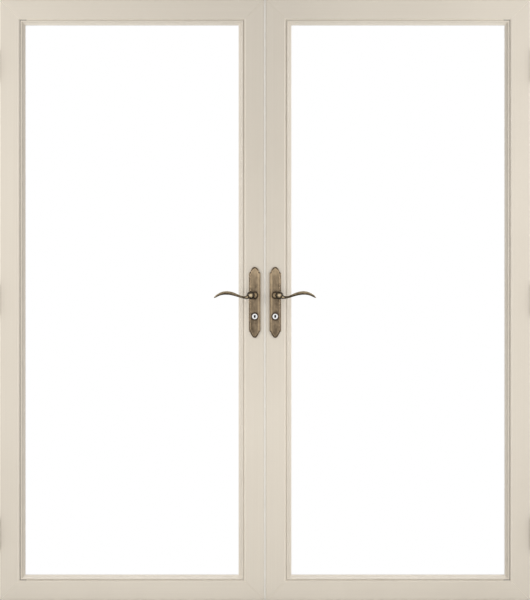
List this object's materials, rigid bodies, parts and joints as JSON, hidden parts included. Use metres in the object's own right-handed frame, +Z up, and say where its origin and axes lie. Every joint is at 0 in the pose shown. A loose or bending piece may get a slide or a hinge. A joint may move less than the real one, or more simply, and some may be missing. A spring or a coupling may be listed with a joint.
{
  "type": "french doors",
  "caption": "Pair of glazed hinged door leaves in a frame, with wave levers on long plates, key locks and shoot bolts thrown by lifting the levers.",
  "frame": {"origin": "centre of the sill's underside, at the middle of the frame's depth", "axes": "+X to the right seen from the outside, +Y towards the inside, +Z up"},
  "size_m": [1.816, 0.1776, 2.019],
  "materials": {
    "vinyl": "satin almond vinyl extrusion",
    "aged_brass": "antique brass, brushed, darkened in the recesses",
    "nickel": "bright nickel",
    "steel": "zinc-plated steel",
    "aluminium": "satin anodised",
    "gasket": "matt grey rubber",
    "seal": "matt pale grey rubber",
    "block": "matt moulded",
    "glass": "clear"
  },
  "bodies": {
    "frame": {"head": "vinyl", "left_jamb": "vinyl", "right_jamb": "vinyl", "sill": "aluminium", "frame_seals": "seal", "frame_hinge_flaps": "aged_brass", "hinge_pins": "aged_brass", "bolt_keeps": "steel"},
    "left_leaf": {"left_hinge_stile": "vinyl", "left_meeting_stile": "vinyl", "left_top_rail": "vinyl", "left_bottom_rail": "vinyl", "left_glazing_beads": "vinyl", "left_glazing_gaskets": "gasket", "left_front_pane": "glass", "left_back_pane": "glass", "left_spacer": "aluminium", "left_setting_blocks": "block", "left_leaf_seals": "seal", "left_hinge_flaps": "aged_brass", "left_front_plate": "aged_brass", "left_back_plate": "aged_brass", "left_plate_screws": "aged_brass", "left_lock_case": "steel", "left_key_cylinder": "aged_brass"},
    "left_lever": {"left_front_lever": "aged_brass", "left_back_lever": "aged_brass", "left_spindle": "steel", "left_drive_gear": "steel"},
    "left_upper_bolt": {"left_upper_bolt": "steel"},
    "left_lower_bolt": {"left_lower_bolt": "steel"},
    "left_lock": {"left_key_plug": "nickel", "left_lock_cam": "steel", "left_thumb_turn": "aged_brass"},
    "right_leaf": {"right_hinge_stile": "vinyl", "right_meeting_stile": "vinyl", "right_top_rail": "vinyl", "right_bottom_rail": "vinyl", "right_glazing_beads": "vinyl", "right_glazing_gaskets": "gasket", "right_front_pane": "glass", "right_back_pane": "glass", "right_spacer": "aluminium", "right_setting_blocks": "block", "right_leaf_seals": "seal", "right_hinge_flaps": "aged_brass", "right_front_plate": "aged_brass", "right_back_plate": "aged_brass", "right_plate_screws": "aged_brass", "right_lock_case": "steel", "right_key_cylinder": "aged_brass"},
    "right_lever": {"right_front_lever": "aged_brass", "right_back_lever": "aged_brass", "right_spindle": "steel", "right_drive_gear": "steel"},
    "right_upper_bolt": {"right_upper_bolt": "steel"},
    "right_lower_bolt": {"right_lower_bolt": "steel"},
    "right_lock": {"right_key_plug": "nickel", "right_lock_cam": "steel", "right_thumb_turn": "aged_brass"}
  },
  "joints": [
    {"name": "left_leaf_swing", "type": "hinge", "parent": "frame", "child": "left_leaf", "pos_m": [-0.8613, -0.0655, 1], "axis": [0, 0, -1], "range_deg": [0, 110]},
    {"name": "left_lever_lift", "type": "hinge", "parent": "left_leaf", "child": "left_lever", "pos_m": [-0.033, -0.03, 1.013], "axis": [0, 1, 0], "range_deg": [0, 45]},
    {"name": "left_upper_throw", "type": "slide", "parent": "left_leaf", "child": "left_upper_bolt", "axis": [0, 0, 1], "range_m": [0, 0.0126]},
    {"name": "left_lower_throw", "type": "slide", "parent": "left_leaf", "child": "left_lower_bolt", "axis": [0, 0, -1], "range_m": [0, 0.0126]},
    {"name": "left_lock_turn", "type": "hinge", "parent": "left_leaf", "child": "left_lock", "pos_m": [-0.033, -0.03, 0.945], "axis": [0, 1, 0], "range_deg": [0, 90]},
    {"name": "right_leaf_swing", "type": "hinge", "parent": "frame", "child": "right_leaf", "pos_m": [0.8613, -0.0655, 1], "axis": [0, 0, 1], "range_deg": [0, 110]},
    {"name": "right_lever_lift", "type": "hinge", "parent": "right_leaf", "child": "right_lever", "pos_m": [0.033, -0.03, 1.013], "axis": [0, -1, 0], "range_deg": [0, 45]},
    {"name": "right_upper_throw", "type": "slide", "parent": "right_leaf", "child": "right_upper_bolt", "axis": [0, 0, 1], "range_m": [0, 0.0126]},
    {"name": "right_lower_throw", "type": "slide", "parent": "right_leaf", "child": "right_lower_bolt", "axis": [0, 0, -1], "range_m": [0, 0.0126]},
    {"name": "right_lock_turn", "type": "hinge", "parent": "right_leaf", "child": "right_lock", "pos_m": [0.033, -0.03, 0.945], "axis": [0, -1, 0], "range_deg": [0, 90]}
  ],
  "couplings": [
    {"joint": "left_upper_throw", "follows": "left_lever_lift", "m_per_rad": 0.016},
    {"joint": "left_lower_throw", "follows": "left_lever_lift", "m_per_rad": 0.016},
    {"joint": "right_upper_throw", "follows": "right_lever_lift", "m_per_rad": 0.016},
    {"joint": "right_lower_throw", "follows": "right_lever_lift", "m_per_rad": 0.016}
  ]
}
